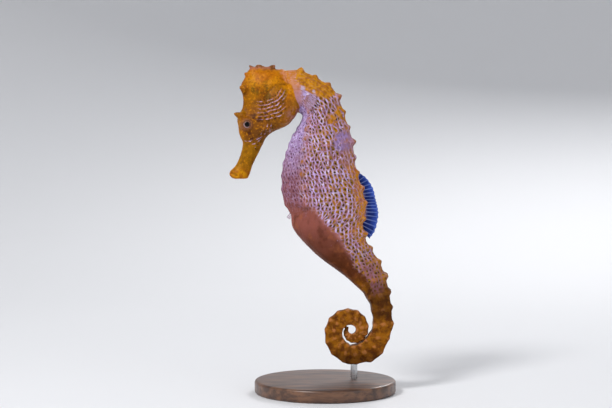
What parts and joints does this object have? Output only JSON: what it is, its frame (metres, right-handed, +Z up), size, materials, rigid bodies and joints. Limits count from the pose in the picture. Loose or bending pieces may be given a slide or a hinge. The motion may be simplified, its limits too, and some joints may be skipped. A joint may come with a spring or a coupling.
{
  "type": "seahorse display model",
  "caption": "Life-size still model of a male seahorse, head bowed and tail curled into a flat coil, on a round display stand with a short rod.",
  "frame": {"origin": "centre of the bottom of the whole object's box, on the underside of the stand's base", "axes": "+Z up; the animal looks along -X, its left flank faces -Y and its back faces +X"},
  "size_m": [0.0588, 0.05, 0.1158],
  "materials": {
    "skin_head": "golden yellow skin, slightly moist",
    "skin_body": "pale lilac net over orange tan, with olive dots",
    "skin_pouch": "smooth brown tan skin",
    "skin_tail": "orange brown skin with paler ring joints",
    "eye": "wet and glossy, dark pupil in a pale ring",
    "dorsal_fin": "translucent deep blue with lighter rays",
    "clear_fin": "nearly clear membrane with fine rays",
    "stand_wood": "dark stained hardwood, satin",
    "stand_steel": "brushed"
  },
  "bodies": {
    "root": {"head": "skin_head", "snout": "skin_head", "coronet": "skin_head", "neck": "skin_body", "trunk": "skin_body", "brood_pouch": "skin_pouch", "tail_base": "skin_tail", "tail_shank": "skin_tail", "tail_bend": "skin_tail", "tail_coil_outer": "skin_tail", "tail_coil_top": "skin_tail", "tail_coil_inner": "skin_tail", "eye_left": "eye", "eye_right": "eye", "dorsal_fin": "dorsal_fin", "pectoral_fin_left": "clear_fin", "pectoral_fin_right": "clear_fin", "anal_fin": "clear_fin", "stand_base": "stand_wood", "stand_rod": "stand_steel"}
  },
  "joints": []
}
